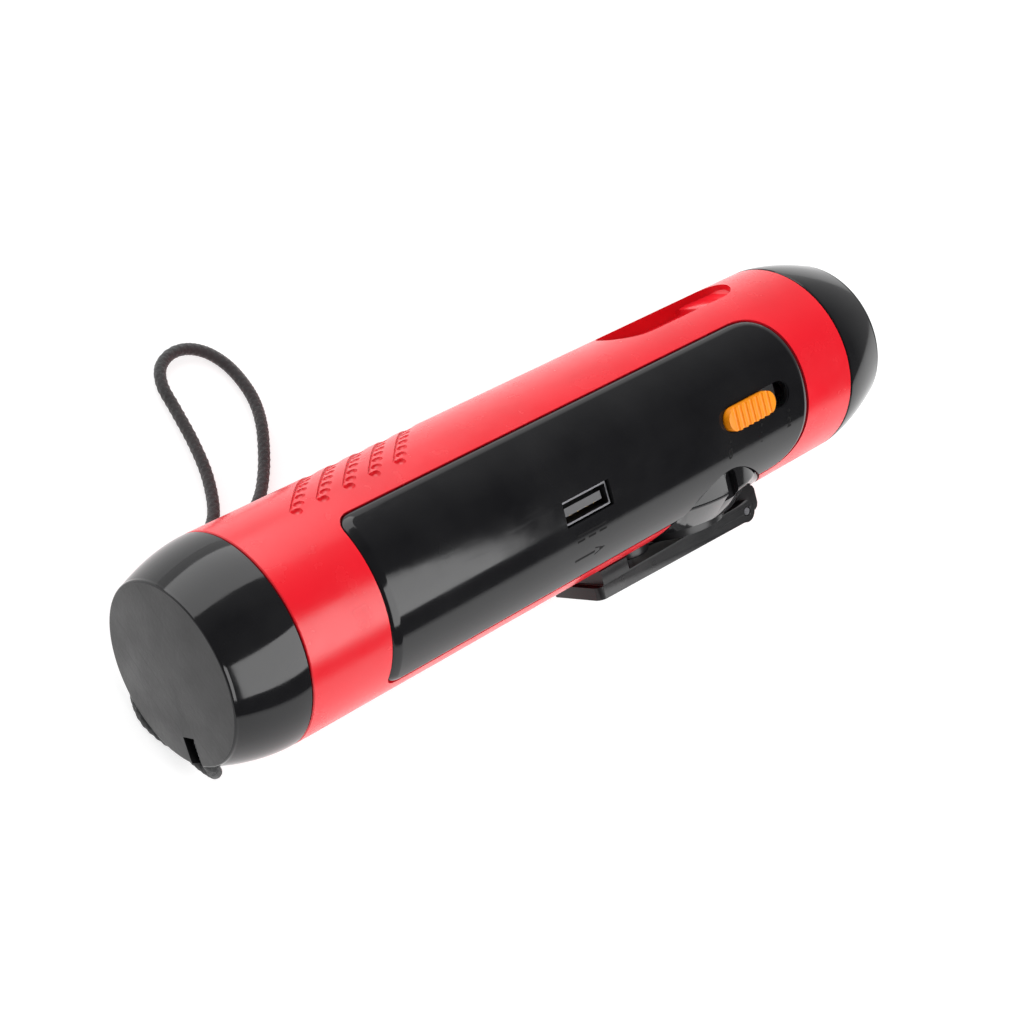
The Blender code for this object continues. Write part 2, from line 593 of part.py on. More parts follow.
for k, (x, y, r) in enumerate(((HUB_X, 0, 3.2), (LAY_X, 0, 1.8), (MOTOR_X, MOTOR_DY, 1.5))):
    boolean(plate, rod(f"plate_bore_{k}", x, y, r, -20, 0, "Z", None, 24))

# what moves hangs from an empty on its axis ---------------------------------------------------------------------
def pivot(name, spot, *pieces, base=root, base_spot=(0, 0, 0)):
    made = bpy.data.objects.new(name, None)
    made.parent = base
    made.location = (Vector(spot) - Vector(base_spot)) * MM
    torch.objects.link(made)
    for piece in pieces:
        held = bpy.data.objects[piece]
        held.parent = made
        held.matrix_parent_inverse = Matrix.Translation(-Vector(spot) * MM)
    return made


HUB_SPOT = (HUB_X, 0, HUB_Z[1])
ARM_SPOT = (PIN_X, 0, PIN_Z)
hub_axis = pivot("hub_axis", HUB_SPOT, "crank_hub", "hub_shaft", "crank_gear")
arm_pieces = ("crank_arm", "hinge_pin", "knob_pin")
arm_axis = pivot("arm_axis", ARM_SPOT, *arm_pieces, base=hub_axis, base_spot=HUB_SPOT)
pivot("disc_axis", (DISC_X, 0, -23.5), "crank_knob", base=arm_axis, base_spot=ARM_SPOT)
pivot("lay_axis", (LAY_X, 0, -14), "lay_shaft", "lay_pinion", "lay_gear")
pivot("motor_axis", (MOTOR_X, MOTOR_DY, -12), "motor_shaft", "motor_pinion")
pivot("switch_rest", (middle, -21, SLOT_Z), "switch_knob")

# lanyard, in the world frame -----------------------------------------------------------------------------------
# It leaves the notch in front of the bar, turns under the tail cap and through the bead, runs round its
# loop and ends in the bead.
LANYARD = [
    (-96.65, -8.58, 14.11), (-96.65, -10.58, 12.79), (-96.55, -12.39, 11.53), (-96.05, -13.92, 10.22),
    (-95.15, -14.53, 8.62), (-94.25, -14.15, 6.59), (-93.75, -12.83, 4.59), (-93.75, -10.67, 3.14),
    (-94.1, -6.9, 1.75), (-95.4, -4.0, 1.5), (-96.7, -0.6, 1.45), (-97.45, 3.05, 1.5), (-96.75, 6.8, 1.45),
    (-95.0, 10.2, 1.45), (-92.0, 13.2, 1.45), (-87.8, 15.7, 1.45), (-83.0, 18.3, 1.6), (-78.6, 21.2, 2.3),
    (-72.9, 25.39, 2.6), (-67.2, 29.0, 2.3), (-61.4, 32.2, 1.6), (-57.2, 36.2, 1.45), (-53.6, 43.8, 1.45),
    (-51.6, 52.0, 1.45), (-50.5, 60.6, 1.45), (-49.8, 66.6, 1.45), (-47.8, 70.6, 1.45), (-44.5, 72.7, 1.45),
    (-40.9, 73.1, 1.45), (-37.6, 72.0, 1.45), (-34.8, 69.4, 1.45), (-32.8, 65.2, 1.45), (-32.1, 60.0, 1.45),
    (-32.6, 54.8, 1.45), (-34.6, 49.4, 1.45), (-37.9, 43.9, 1.45), (-41.6, 38.9, 1.45), (-46.0, 34.4, 1.45),
    (-51.6, 31.0, 1.45), (-58.2, 28.4, 1.6), (-65.0, 25.9, 2.3), (-71.1, 22.61, 2.6), (-72.4, 21.77, 2.6),
]
tube("lanyard", smooth(LANYARD, 80), CORD_D, ((0.02, 0.02, 0.022), 0.8))
long, wide, tall = BEAD_SIZE
bead = prism("lanyard_bead", rounded((-wide / 2, wide / 2), (0, tall), 2.2, 4), -long / 2, long / 2, "X", SATIN, None)
bead.location = (BEAD_AT.x * MM, BEAD_AT.y * MM, 0)
bead.rotation_euler = (0, 0, math.atan2(BEAD_ALONG.y, BEAD_ALONG.x))
slot = rounded((-3.4, 3.4), (0.85, 4.35), 1.7, 4)
boolean(bead, prism("bead_slot", slot, -long, long, "X", None, bead))
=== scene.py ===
"""The looks of the hand-crank torch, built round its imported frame. Lengths here are in millimetres."""

import json
import math

import bmesh
import bpy
from mathutils import Matrix, Vector

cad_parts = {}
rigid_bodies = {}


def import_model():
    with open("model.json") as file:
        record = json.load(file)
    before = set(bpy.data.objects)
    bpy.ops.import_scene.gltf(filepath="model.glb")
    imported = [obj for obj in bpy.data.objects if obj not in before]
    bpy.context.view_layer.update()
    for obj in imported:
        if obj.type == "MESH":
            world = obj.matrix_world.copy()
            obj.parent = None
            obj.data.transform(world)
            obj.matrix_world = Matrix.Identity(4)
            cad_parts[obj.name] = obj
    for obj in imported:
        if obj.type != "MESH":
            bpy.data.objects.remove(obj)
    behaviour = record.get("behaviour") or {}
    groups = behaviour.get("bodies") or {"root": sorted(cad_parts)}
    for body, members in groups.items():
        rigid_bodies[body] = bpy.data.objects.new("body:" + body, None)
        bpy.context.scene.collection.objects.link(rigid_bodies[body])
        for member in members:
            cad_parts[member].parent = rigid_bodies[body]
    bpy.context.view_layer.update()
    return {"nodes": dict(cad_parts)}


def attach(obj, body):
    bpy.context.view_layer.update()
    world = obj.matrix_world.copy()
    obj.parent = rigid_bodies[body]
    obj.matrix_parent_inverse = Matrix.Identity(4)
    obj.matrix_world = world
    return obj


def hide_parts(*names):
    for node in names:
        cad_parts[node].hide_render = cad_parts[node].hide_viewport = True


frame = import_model()

# The torch's own frame: x from the tail face to the lens, y across, z up from the barrel's axis.
MM = 0.001
LENGTH = 197.9
R_BODY = 23.0
R_IN = 20.6
TAIL_SEAM = 16.0
HEAD_SEAM = 181.2
R_TAIL = 19.5
R_NOSE = 19.1
NOSE_X = 196.8
R_SPIGOT = 20.3
FLAT_Z = -21.6
FLAT_X = (97.0, 175.0)
SEAM = 0.3
PANEL_X = (36.2, 165.1)
PANEL_HALF = 20.4
PANEL_END = 13.0
PANEL_POWER = 2.9
PANEL_CORNER = 3.5
PANEL_TOP = 0.55
SLOT_X = (136.0, 158.3)
SLOT_Z = 0.6
SLOT_WIDE = 5.9
KNOB_LONG = 15.8
KNOB_WIDE = 5.4
KNOB_TOP = 25.1
USB_X = (85.0, 99.0)
USB_Z = (-3.7, 2.0)
GRIP_X = 31.9
GRIP_PITCH = 6.75
GRIP_FROM = 66.0
GRIP_STEP = 5.6
GRIP_SLANT = 0.402
SCOOP_X = (128.3, 169.6)
SCOOP_HALF = 6.8
HUB_X = 137.0
SEAT_R = 20.7
SEAT_TOP = -9.5
SEAT_RIM = -16.4
SEAT_FLAT = 14.0
SEAT_LOW = -21.85
HUB_R = 11.0
HUB_Z = (-24.4, -22.15)
PIN_X = 152.0
PIN_Z = -27.0
PIN_R = 0.9
EAR_R = 2.6
LUG_HALF = 5.9
ARM_HALF = 8.0
ARM_Z = (-28.2, -24.8)
ARM_TAIL = 101.7
BLOCK_X = (103.6, 112.0)
BLOCK_TOP = -21.95
DISC_X = 119.0
DISC_R = 5.6
NOTCH_Y = (-0.6, 3.0)
NOTCH_TOP = -13.4
BAR_X = 4.9
CORD_D = 2.8
EAR_LOW = EAR_R - PIN_Z
# The torch lies rolled about its axis until the arm's ear touches the floor.
ROLL = math.acos(R_BODY / math.hypot(EAR_LOW, ARM_HALF)) + math.atan2(ARM_HALF, EAR_LOW)
REACH = ARM_HALF * math.cos(ROLL) + EAR_LOW * math.sin(ROLL)
SHIFT_Y = (REACH - R_BODY) / 2
LIE = Matrix.Translation((-LENGTH / 2 * MM, SHIFT_Y * MM, R_BODY * MM)) @ Matrix.Rotation(-ROLL, 4, "X")
GAP = 0.3
AIR = 0.2
RELIEF = 0.0004
COAT_ROUGH = 0.06
SCRATCH_TURNS = ((0.3, 0.2, 0.1), (1.5, 0.1, 1.1), (2.5, 0.6, 0.4), (0.9, 1.3, 2.2))
BEND_STEP = 0.671
PANEL_DEEP = 1.7
EDGE = 0.22
GRIP_ROWS = 5
GRIP_ARC = 45.4
GRIP_LEAD = 1.7
DENTS = 9
DENT_R = 1.3
DENT_LIFT = 0.32
GROOVES = 7
GROOVE_FROM = 2.35
GROOVE_STEP = 1.85
GROOVE_R = 0.62
MARK_LIFT = 0.012
MARK_X = 91.9
SWITCH_MARKS = (136.8, 147.6, 157.4)
SWITCH_DOTS = (137.0, 147.8, 157.5)
DOT_R = 0.36
USB_CONTACTS = 4
CONTACT_FROM = 88.4
CONTACT_STEP = 2.4
CONTACT_HALF = 0.55
BEAD = (7.0, 8.4, 5.2)
BEAD_SPOT = (-72.0, 24.0, 0)
BEAD_AHEAD = (0.84, 0.5426)

scene = bpy.context.scene
scene.view_settings.view_transform = "Standard"


# --- materials ---------------------------------------------------------------------------------
def node(tree, kind, **inputs):
    made = tree.nodes.new(kind)
    for name, value in inputs.items():
        made.inputs[name.replace("_", " ")].default_value = value
    return made


def noise(tree, coords, scale, detail=3.0, stretch=None, turn=None):
    source = coords
    if stretch:
        mapping = tree.nodes.new("ShaderNodeMapping")
        mapping.inputs["Scale"].default_value = stretch
        mapping.inputs["Rotation"].default_value = turn or (0, 0, 0)
        tree.links.new(coords, mapping.inputs["Vector"])
        source = mapping.outputs["Vector"]
    made = node(tree, "ShaderNodeTexNoise", Scale=scale, Detail=detail, Roughness=0.55)
    tree.links.new(source, made.inputs["Vector"])
    return made.outputs["Fac"]


def ranged(tree, value, low, high, to_low, to_high):
    made = tree.nodes.new("ShaderNodeMapRange")
    made.inputs["From Min"].default_value = low
    made.inputs["From Max"].default_value = high
    made.inputs["To Min"].default_value = to_low
    made.inputs["To Max"].default_value = to_high
    tree.links.new(value, made.inputs["Value"])
    return made.outputs["Result"]


def maths(tree, how, a, b):
    made = tree.nodes.new("ShaderNodeMath")
    made.operation = how
    for k, value in enumerate((a, b)):
        if isinstance(value, float):
            made.inputs[k].default_value = value
        else:
            tree.links.new(value, made.inputs[k])
    return made.outputs["Value"]


def finish(
    name, colour, other, rough, metallic=0.0, grain=900.0, bump=0.02,
    cloud=45.0, coat=0.0, scratches=0.0, wear=0.0,
):
    """Moulded, drawn or cast stuff: cloudy colour, uneven gloss, a fine grain, and, if asked, wear."""
    made = bpy.data.materials.new(name)
    made.use_nodes = True
    tree = made.node_tree
    shader = tree.nodes["Principled BSDF"]
    shader.inputs["Metallic"].default_value = metallic
    shader.inputs["Coat Weight"].default_value = coat
    shader.inputs["Coat Roughness"].default_value = COAT_ROUGH
    coords = tree.nodes.new("ShaderNodeTexCoord").outputs["Object"]
    blotch = noise(tree, coords, cloud, 4.0)
    mix = tree.nodes.new("ShaderNodeMix")
    mix.data_type = "RGBA"
    mix.inputs["A"].default_value = (*colour, 1)
    mix.inputs["B"].default_value = (*other, 1)
    share = ranged(tree, blotch, 0.35, 0.68, 0.0, 1.0)
    height = noise(tree, coords, grain, 2.0)
    gloss = ranged(tree, noise(tree, coords, cloud * 3.1, 5.0), 0.3, 0.7, rough[0], rough[1])
    if scratches:
        marks = None
        for k, turn in enumerate(SCRATCH_TURNS):
            lines = noise(tree, coords, 60.0 + 13.0 * k, 2.0, (1.0, 0.035, 24.0), turn)
            thin = ranged(tree, lines, 0.66, 0.70, 0.0, 1.0)
            marks = thin if marks is None else maths(tree, "MAXIMUM", marks, thin)
        marks = maths(tree, "MULTIPLY", marks, scratches)
        share = maths(tree, "MAXIMUM", share, marks)
        gloss = maths(tree, "ADD", gloss, maths(tree, "MULTIPLY", marks, 0.25))
        height = maths(tree, "SUBTRACT", height, maths(tree, "MULTIPLY", marks, 1.2))
    if wear:
        edge = node(tree, "ShaderNodeNewGeometry").outputs["Pointiness"]
        rub = maths(tree, "MULTIPLY", ranged(tree, edge, 0.52, 0.6, 0.0, wear), noise(tree, coords, 160.0))
        share = maths(tree, "MAXIMUM", share, rub)
    tree.links.new(share, mix.inputs["Factor"])
    tree.links.new(mix.outputs["Result"], shader.inputs["Base Color"])
    tree.links.new(gloss, shader.inputs["Roughness"])
    relief = node(tree, "ShaderNodeBump", Strength=bump, Distance=RELIEF)
    tree.links.new(height, relief.inputs["Height"])
    tree.links.new(relief.outputs["Normal"], shader.inputs["Normal"])
    return made


def set_input(material, socket, value):
    material.node_tree.nodes["Principled BSDF"].inputs[socket].default_value = value


RED = finish("red_plastic", (0.80, 0.012, 0.024), (0.74, 0.010, 0.020), (0.20, 0.30), grain=1400.0, bump=0.03)
BLACK = finish("black_gloss", (0.0065, 0.0065, 0.0075), (0.013, 0.013, 0.014), (0.05, 0.12), grain=200.0)
PANEL = finish(
    "black_panel", (0.006, 0.006, 0.007), (0.012, 0.012, 0.013), (0.07, 0.13),
    grain=160.0, scratches=0.10,
)
TAIL = finish(
    "tail_satin", (0.040, 0.039, 0.040), (0.050, 0.049, 0.050), (0.36, 0.5), bump=0.12, scratches=0.25
)
CRANK = finish(
    "crank_black", (0.009, 0.009, 0.010), (0.014, 0.014, 0.015), (0.26, 0.36), bump=0.05, wear=0.15
)
SATIN = finish("black_satin", (0.02, 0.02, 0.021), (0.03, 0.03, 0.031), (0.4, 0.55), bump=0.3)
ORANGE = finish(
    "orange_knob", (0.95, 0.30, 0.004), (0.90, 0.26, 0.003), (0.3, 0.42), grain=2200.0, bump=0.1
)
STEEL = finish("bright_steel", (0.62, 0.62, 0.64), (0.5, 0.5, 0.52), (0.18, 0.34), 1.0, scratches=0.3)
BRASS = finish("bare_brass", (0.78, 0.55, 0.22), (0.62, 0.42, 0.15), (0.2, 0.36), 1.0)
ALU = finish("machined_aluminium", (0.8, 0.8, 0.82), (0.7, 0.7, 0.72), (0.2, 0.36), 1.0, scratches=0.2)
MIRROR = finish("mirror_bowl", (0.92, 0.92, 0.93), (0.86, 0.86, 0.88), (0.03, 0.08), 1.0, bump=0.01)
NYLON = finish("natural_nylon", (0.82, 0.81, 0.75), (0.76, 0.74, 0.67), (0.4, 0.55))
WHITE = finish("white_mask", (0.86, 0.86, 0.86), (0.78, 0.78, 0.78), (0.4, 0.5))
GREEN = finish("green_board", (0.015, 0.16, 0.06), (0.01, 0.1, 0.04), (0.25, 0.4), cloud=220.0)
WRAP = finish("blue_wrap", (0.03, 0.16, 0.5), (0.02, 0.12, 0.42), (0.2, 0.35), coat=0.3)
PHOSPHOR = finish("led_phosphor", (0.9, 0.78, 0.2), (0.85, 0.7, 0.12), (0.15, 0.3), coat=0.6)
RUBBER = finish("seal_rubber", (0.015, 0.015, 0.015), (0.03, 0.03, 0.03), (0.55, 0.75), bump=0.2)
INK = finish(
    "sunk_mark", (0.0025, 0.0025, 0.003), (0.004, 0.004, 0.004), (0.5, 0.6), grain=3000.0, bump=0.1
)
set_input(INK, "Specular IOR Level", 0.12)
# Nickel with its colour darkened far below bare metal: painted shade for the USB shell's rim deep in the
# panel's mouth. The hinge pin shares this darkened metal.
SHADED_NICKEL = finish("nickel_painted_shade", (0.20, 0.20, 0.21), (0.14, 0.14, 0.15), (0.3, 0.42), 1.0)
GREY = finish("grey_tongue", (0.13, 0.13, 0.135), (0.10, 0.10, 0.105), (0.35, 0.5))
CORD = finish(
    "braided_cord", (0.012, 0.012, 0.013), (0.028, 0.028, 0.030), (0.6, 0.8), grain=5200.0, bump=0.6
)
set_input(CORD, "Sheen Weight", 0.35)
GLASS = finish("clear_lens", (0.96, 0.98, 1.0), (0.94, 0.97, 1.0), (0.01, 0.04), bump=0.004)
set_input(GLASS, "Transmission Weight", 1.0)
set_input(GLASS, "IOR", 1.45)
for plastic in (BLACK, PANEL, CRANK, ORANGE, TAIL):
    set_input(plastic, "Specular IOR Level", 0.36)


# --- shapes, in the torch's own frame, in millimetres ------------------------------------------
def put(form, name):
    bmesh.ops.recalc_face_normals(form, faces=form.faces)
    mesh = bpy.data.meshes.new(name)
    form.to_mesh(mesh)
    form.free()
    made = bpy.data.objects.new(name, mesh)
    scene.collection.objects.link(made)
    return made


def prism(name, outline, low, high, axis="Z"):
    form = bmesh.new()
    at = {"X": lambda a, b: (low, a, b), "Y": lambda a, b: (a, low, b), "Z": lambda a, b: (a, b, low)}[axis]
    step = {"X": (1, 0, 0), "Y": (0, 1, 0), "Z": (0, 0, 1)}[axis]
    face = form.faces.new([form.verts.new(Vector(at(a, b)) * MM) for a, b in outline])
    side = bmesh.ops.extrude_face_region(form, geom=[face])
    moved = [v for v in side["geom"] if isinstance(v, bmesh.types.BMVert)]
    bmesh.ops.translate(form, verts=moved, vec=Vector(step) * (high - low) * MM)
    return put(form, name)


def box(name, x, y, z):
    return prism(name, [(x[0], y[0]), (x[1], y[0]), (x[1], y[1]), (x[0], y[1])], z[0], z[1])


def rod(name, a, b, r, low, high, axis="Z", steps=64):
    turn = 2 * math.pi / steps
    ring = [(a + r * math.cos(turn * k), b + r * math.sin(turn * k)) for k in range(steps)]
    return prism(name, ring, low, high, axis)


def rounded(x, y, radius, steps=8):
    radii = radius if isinstance(radius, tuple) else (radius,) * 4
    spots = [(x[0], y[0], 180), (x[1], y[0], 270), (x[1], y[1], 0), (x[0], y[1], 90)]
    points = []
    for (a, b, start), r in zip(spots, radii):
        ca = a + r if a == x[0] else a - r
        cb = b + r if b == y[0] else b - r
        for k in range(steps + 1) if r else [0]:
            angle = math.radians(start + 90 * k / steps)
            points.append((ca + r * math.cos(angle), cb + r * math.sin(angle)) if r else (a, b))
    return points


def turned(name, profile, axis="X", centre=(0, 0), steps=160, closed=False):
    """A lathe of (radius, height) points about the barrel's axis (X) or the crank's (Z)."""
    form = bmesh.new()

    def place(r, h, angle):
        across, up = centre[0] + r * math.cos(angle), centre[1] + r * math.sin(angle)
        return form.verts.new(Vector((h, across, up) if axis == "X" else (across, up, h)) * MM)

    rings = []
    for r, h in profile:
        count = 1 if r < 1e-6 else steps
        rings.append([place(r, h, 2 * math.pi * k / steps) for k in range(count)])
    pairs = list(zip(rings, rings[1:]))
    if closed:
        pairs.append((rings[-1], rings[0]))
    for low, high in pairs:
        for k in range(steps):
            a, b = low[k % len(low)], low[(k + 1) % len(low)]
            c, d = high[(k + 1) % len(high)], high[k % len(high)]
            corners = list(dict.fromkeys((a, b, c, d)))
            if len(corners) > 2:
                form.faces.new(corners)
    return put(form, name)


def boolean(target, other, how="DIFFERENCE"):
    """Cuts other from target, or joins or crosses them. The loose helpers go at the end."""
    step = target.modifiers.new(how.lower(), "BOOLEAN")
    step.operation = how
    step.object = other
    step.solver = "EXACT"
    return target


def bevel(target, width, segments=3, angle=32):
    step = target.modifiers.new("bevel", "BEVEL")
    step.width = width * MM
    step.segments = segments
    step.limit_method = "ANGLE"
    step.angle_limit = math.radians(angle)
    step.harden_normals = False
    return target


def onto_barrel(form):
    """Bends flat work, with y along the arc and z outward, round the barrel."""
    for v in form.verts:
        arc = v.co.y / (R_BODY * MM)
        r = R_BODY * MM + v.co.z
        v.co = Vector((v.co.x, -r * math.cos(arc), r * math.sin(arc)))


def panel_outline(inset):
    """The panel's edge, flat: square with small corners at the tail, a long round end at the head."""
    half = PANEL_HALF - inset
    tail = PANEL_X[0] + inset
    corner = max(PANEL_CORNER - inset, 0.8)
    deep = PANEL_END - inset
    start = PANEL_X[1] - PANEL_END
    points = []
    for k in range(11):
        angle = math.radians(90 + 90 * k / 10)
        points.append((tail + corner + corner * math.cos(angle), half - corner + corner * math.sin(angle)))
    points += [(x, -s) for x, s in reversed(points)]
    for k in range(61):
        angle = math.radians(-90 + 180 * k / 60)
        c, s = max(math.cos(angle), 0.0), math.sin(angle)
        x = start + deep * c ** (2 / PANEL_POWER)
        points.append((x, math.copysign(half * abs(s) ** (2 / PANEL_POWER), s)))
    return points


def bent(name, levels):
    """A solid of panel outlines at (inset, height) levels, cut into strips and bent round the barrel."""
    form = bmesh.new()
    loops = [[form.verts.new(Vector((x, s, h)) * MM) for x, s in panel_outline(i)] for i, h in levels]
    count = len(loops[0])
    for low, high in zip(loops, loops[1:]):
        for k in range(count):
            form.faces.new([low[k], low[(k + 1) % count], high[(k + 1) % count], high[k]])
    form.faces.new(loops[0])
    form.faces.new(loops[-1])
    for k in range(-30, 31):
        cut = form.verts[:] + form.edges[:] + form.faces[:]
        bmesh.ops.bisect_plane(
            form, geom=cut, dist=1e-7, plane_co=(0, k * BEND_STEP * MM, 0), plane_no=(0, 1, 0)
        )
    onto_barrel(form)
    bmesh.ops.triangulate(form, faces=form.faces)
    return put(form, name)


def wall(radius_at, low, high):
    """A rule that gives the true normal of a turned surface of this radius, for points on it."""

    def true_normal(point, flat):
        x, y, z = point
        if not low - 0.01 <= x <= high + 0.01:
            return None
        r = math.hypot(y, z)
        if abs(r - radius_at(x)) > 0.03:
            return None
        slope = (radius_at(min(x + 0.05, high)) - radius_at(max(x - 0.05, low))) / 0.1
        out = Vector((-slope, y / r, z / r)).normalized()
        return out if out.dot(flat) > 0.93 else None

    return true_normal


def settle(made, material, body, *nodes, rules=(), sharp=34):
    """Applies the modifiers, lays the piece with the torch, and sets true normals where a rule has one."""
    graph = bpy.context.evaluated_depsgraph_get()
    mesh = bpy.data.meshes.new_from_object(made.evaluated_get(graph))
    made.modifiers.clear()
    made.data = mesh
    mesh.shade_smooth()
    mesh.set_sharp_from_angle(angle=math.radians(sharp))
    turn = LIE.to_3x3()
    if rules:
        normals = [Vector(n.vector) for n in mesh.corner_normals]
        for face in mesh.polygons:
            flat = face.normal
            for corner in face.loop_indices:
                point = mesh.vertices[mesh.loops[corner].vertex_index].co / MM
                for rule in rules:
                    found = rule(point, flat)
                    if found:
                        normals[corner] = found
                        break
        normals = [turn @ n for n in normals]
    mesh.transform(LIE)
    if rules:
        mesh.normals_split_custom_set(normals)
    mesh.materials.clear()
    mesh.materials.append(material)
    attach(made, body)
    if nodes:
        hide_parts(*nodes)


def cap_radius(x):
    share = (TAIL_SEAM - SEAM - x) / (TAIL_SEAM - SEAM - 0.5)
    return R_TAIL + (R_BODY - R_TAIL) * (1 - max(share, 0.0) ** 1.83)


def nose_radius(x):
    share = (x - HEAD_SEAM - SEAM) / (NOSE_X - HEAD_SEAM - SEAM)
    return R_NOSE + (R_BODY - R_NOSE) * (1 - max(share, 0.0) ** 1.5)


# --- camera, floor and light -------------------------------------------------------------------
EYE = Vector((-285.7, -87.6, 376.4)) * MM
RIGHT, AHEAD = Vector((0.705, -0.581, 0.407)), Vector((0.604, 0.192, -0.773))
lens = bpy.data.cameras.new("camera")
lens.lens = 74.9
lens.sensor_width = 36.0
lens.clip_start = 0.01
camera = bpy.data.objects.new("camera", lens)
scene.collection.objects.link(camera)
AHEAD.normalize()
RIGHT = (RIGHT - AHEAD * RIGHT.dot(AHEAD)).normalized()
UP = RIGHT.cross(AHEAD)
camera.matrix_world = Matrix.Translation(EYE) @ Matrix((RIGHT, UP, -AHEAD)).transposed().to_4x4()
scene.camera = camera

floor_form = bmesh.new()
bmesh.ops.create_grid(floor_form, x_segments=2, y_segments=2, size=3.0)
floor = put(floor_form, "floor")
floor.location.z = -0.2 * MM
light_table = finish("pale_floor", (0.42, 0.42, 0.42), (0.40, 0.40, 0.40), (0.6, 0.7), bump=0.0)
set_input(light_table, "Emission Color", (1, 1, 1, 1))
set_input(light_table, "Emission Strength", 0.74)
floor.data.materials.append(light_table)

world = bpy.data.worlds.new("studio")
scene.world = world
world.use_nodes = True
sky = world.node_tree
facing = sky.nodes.new("ShaderNodeVectorMath")
facing.operation = "DOT_PRODUCT"
facing.inputs[1].default_value = (0.0, 0.87, -0.5)
sky.links.new(sky.nodes.new("ShaderNodeTexCoord").outputs["Generated"], facing.inputs[0])
tent = sky.nodes.new("ShaderNodeValToRGB")
for spot, shade in ((0.0, 0.05), (0.28, 0.09), (0.5, 0.38), (0.65, 0.5), (0.85, 1.1)):
    stop = tent.color_ramp.elements.new(spot) if spot else tent.color_ramp.elements[0]
    stop.color = (shade, shade, shade, 1)
tent.color_ramp.elements[-1].color = (1.1, 1.1, 1.1, 1)
spread = ranged(sky, facing.outputs["Value"], -1.0, 1.0, 0.0, 1.0)
sky.links.new(spread, tent.inputs["Fac"])
sky.links.new(tent.outputs["Color"], sky.nodes["Background"].inputs["Color"])


def softbox(name, spot, target, size, power):
    light = bpy.data.lights.new(name, "AREA")
    light.shape = "RECTANGLE"
    light.size, light.size_y = size
    light.energy = power
    made = bpy.data.objects.new(name, light)
    scene.collection.objects.link(made)
    made.location = spot
    made.rotation_euler = (Vector(target) - Vector(spot)).to_track_quat("-Z", "Y").to_euler()


softbox("lamp", (0.10, -0.58, 0.52), (-0.03, 0.0, 0.03), (0.75, 0.56), 6.5)
softbox("overhead", (0.0, 1.3, 1.0), (0, 0, 0), (1.9, 1.5), 24.0)

# --- barrel ------------------------------------------------------------------------------------
barrel = wall(lambda x: R_BODY, TAIL_SEAM, HEAD_SEAM)
shell = turned(
    "shell_skin",
    [
        (R_BODY, HEAD_SEAM - EDGE), (R_BODY, 120.0), (R_BODY, 70.0), (R_BODY, TAIL_SEAM + EDGE),
        (R_BODY - EDGE, TAIL_SEAM), (R_IN, TAIL_SEAM), (R_IN, HEAD_SEAM), (R_BODY - EDGE, HEAD_SEAM),
    ],
    steps=192,
    closed=True,
)
tub = box("tub", (125.5, 171.4), (-9.6, 9.6), (16.4, 26.0))
boolean(tub, rod("tub_round", 0, 0, 22.2, 100, 190, "X", 96), "INTERSECT")
boolean(shell, tub, "UNION")
boolean(shell, bent("panel_seat", [(-GAP, -PANEL_DEEP), (-GAP, 3.0)]))
boolean(shell, rod("seat_hole", HUB_X, 0, SEAT_R + GAP, -40, SEAT_TOP + GAP, "Z", 128))
boolean(shell, box("under_flat", FLAT_X, (-15, 15), (-30, FLAT_Z)))
boolean(shell, box("switch_hole", (130.5, 163.0), (-26, -10), (SLOT_Z - 4.1, SLOT_Z + 4.1)))
usb_hole = ((USB_X[0] - 0.4, USB_X[1] + 0.4), (-26, -10), (USB_Z[0] - 0.6, USB_Z[1] + 0.6))
boolean(shell, box("usb_hole", *usb_hole))

pads = bmesh.new()
for row in range(GRIP_ROWS):
    rings = []
    for k in range(25):
        angle = GRIP_FROM + GRIP_LEAD + GRIP_ARC * k / 24
        x = GRIP_X + GRIP_PITCH * row + GRIP_SLANT * (angle - GRIP_FROM)
        fade = min(1.0, 0.25 + 0.75 * min(k, 24 - k) / 2)
        c, s = math.cos(math.radians(angle)), math.sin(math.radians(angle))
        section = [(-2.0, 0.8), (-2.0, -0.5 * fade), (-0.5, -0.34 * fade), (2.8, 0.06), (2.8, 0.8)]
        spots = [(x + dx, -(R_BODY + t) * c, (R_BODY + t) * s) for dx, t in section]
        rings.append([pads.verts.new(Vector(spot) * MM) for spot in spots])
    for low, high in zip(rings, rings[1:]):
        for j in range(5):
            pads.faces.new([low[j], low[(j + 1) % 5], high[(j + 1) % 5], high[j]])
    pads.faces.new(rings[0])
    pads.faces.new(rings[-1])
boolean(shell, put(pads, "pads"))
dents = bmesh.new()
for row in range(GRIP_ROWS):
    for k in range(DENTS):
        angle = math.radians(GRIP_FROM + GRIP_STEP * k)
        x = GRIP_X + GRIP_PITCH * row + GRIP_SLANT * GRIP_STEP * k
        out = Vector((0, -math.cos(angle), math.sin(angle)))
        place = Matrix.Translation((Vector((x, 0, 0)) + out * (R_BODY + DENT_LIFT)) * MM)
        bmesh.ops.create_uvsphere(dents, u_segments=20, v_segments=12, radius=DENT_R * MM, matrix=place)
boolean(shell, put(dents, "dents"))

floor_line = [
    (SCOOP_X[0] - 0.6, 23.4), (132.0, 21.75), (136.0, 20.6), (139.5, 19.8), (143.0, 19.15), (146.5, 18.7),
    (150.0, 18.45), (155.0, 18.4), (160.2, 18.4), (160.5, 18.6), (161.0, 19.9), (161.4, 20.1),
    (166.5, 20.4), (168.6, 20.9), (SCOOP_X[1] + 0.2, 21.9), (SCOOP_X[1] + 0.2, 30.0),
    (SCOOP_X[0] - 0.6, 30.0),
]
scoop = prism("scoop", floor_line, -12, 12, "Y")
plan = [
    (SCOOP_X[0], 0.0), (128.8, -1.5), (129.6, -2.9), (131.2, -4.6), (133.2, -5.8), (135.6, -6.5),
    (138.5, -SCOOP_HALF),
]
plan += [
    (SCOOP_X[1] - SCOOP_HALF + SCOOP_HALF * math.cos(a), SCOOP_HALF * math.sin(a))
    for a in (math.radians(d) for d in range(-90, 91, 5))
]
